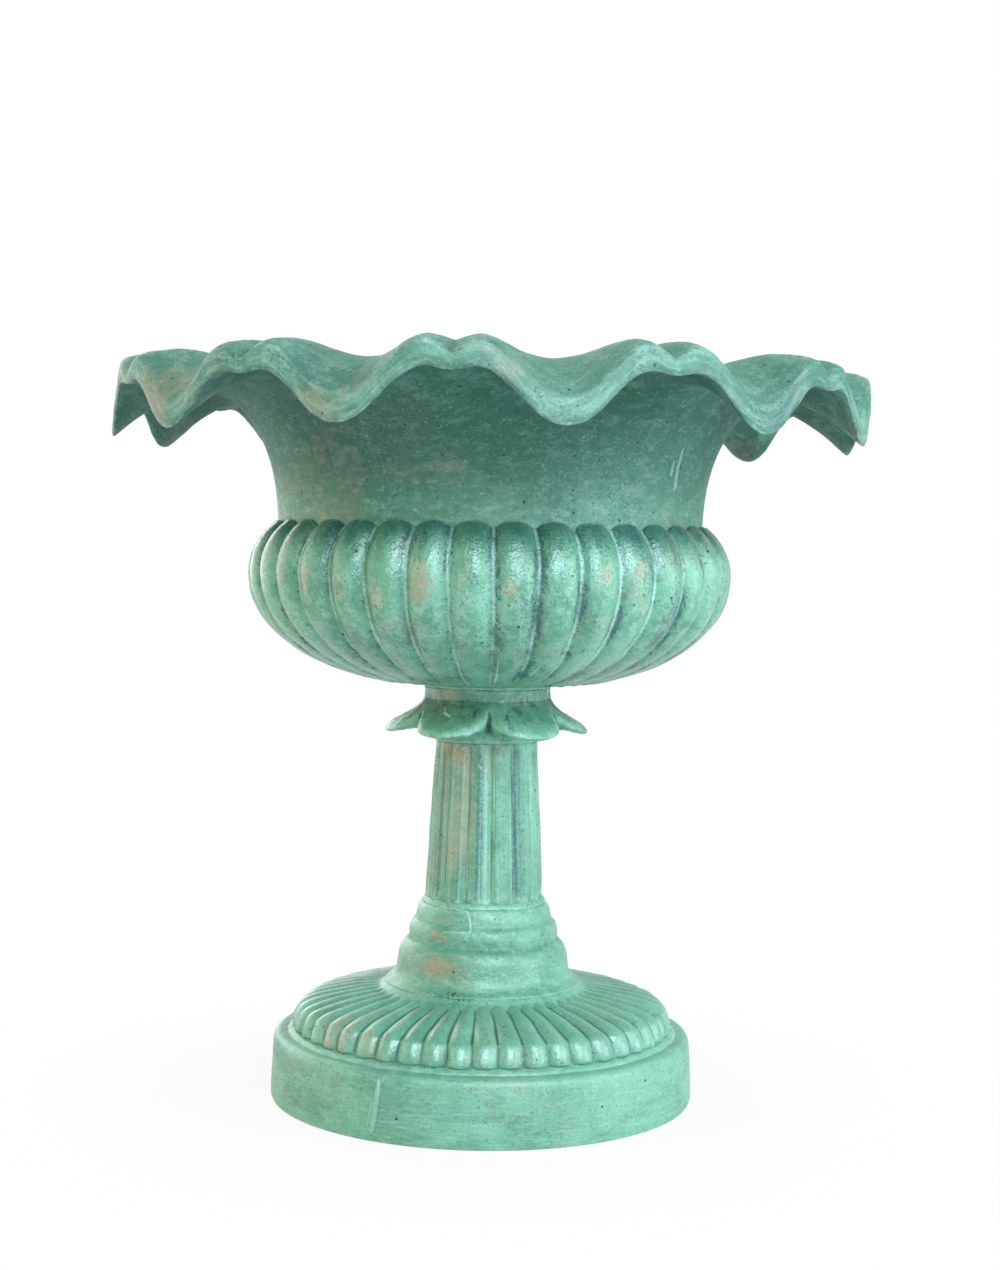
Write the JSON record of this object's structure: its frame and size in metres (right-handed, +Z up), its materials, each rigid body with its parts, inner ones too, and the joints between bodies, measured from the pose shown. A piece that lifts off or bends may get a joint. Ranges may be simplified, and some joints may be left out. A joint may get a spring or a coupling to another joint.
{
  "type": "pedestal urn",
  "caption": "Cast pedestal urn: open gadrooned bowl with a waved, flared rim on a leaf collar, fluted column, stepped bell, ribbed foot and round plinth, painted verdigris green.",
  "frame": {"origin": "middle of the plinth's underside, on the ground", "axes": "+Z up the urn's axis; a crest of the rim's wave lies on -Y"},
  "size_m": [0.536, 0.536, 0.5169],
  "materials": {
    "verdigris_paint": "brushed and stippled verdigris paint on cast stone, satin",
    "painted_mortar": "rough painted mortar",
    "zinc_plated_steel": "dull zinc plate",
    "black_rubber": "matt"
  },
  "bodies": {
    "root": {"plinth": "verdigris_paint", "ribbed_foot": "verdigris_paint", "bell_base": "verdigris_paint", "fluted_column": "verdigris_paint", "leaf_collar": "verdigris_paint", "gadrooned_bowl": "verdigris_paint", "flared_rim": "verdigris_paint", "plinth_mortar_bed": "painted_mortar", "foot_mortar_bed": "painted_mortar", "column_mortar_bed": "painted_mortar", "collar_mortar_bed": "painted_mortar", "bowl_mortar_bed": "painted_mortar", "rim_mortar_bed": "painted_mortar", "tie_rod": "zinc_plated_steel", "bowl_nut": "zinc_plated_steel", "bowl_plate_washer": "zinc_plated_steel", "base_nut": "zinc_plated_steel", "base_plate_washer": "zinc_plated_steel", "bowl_seal_washer": "black_rubber"}
  },
  "joints": []
}
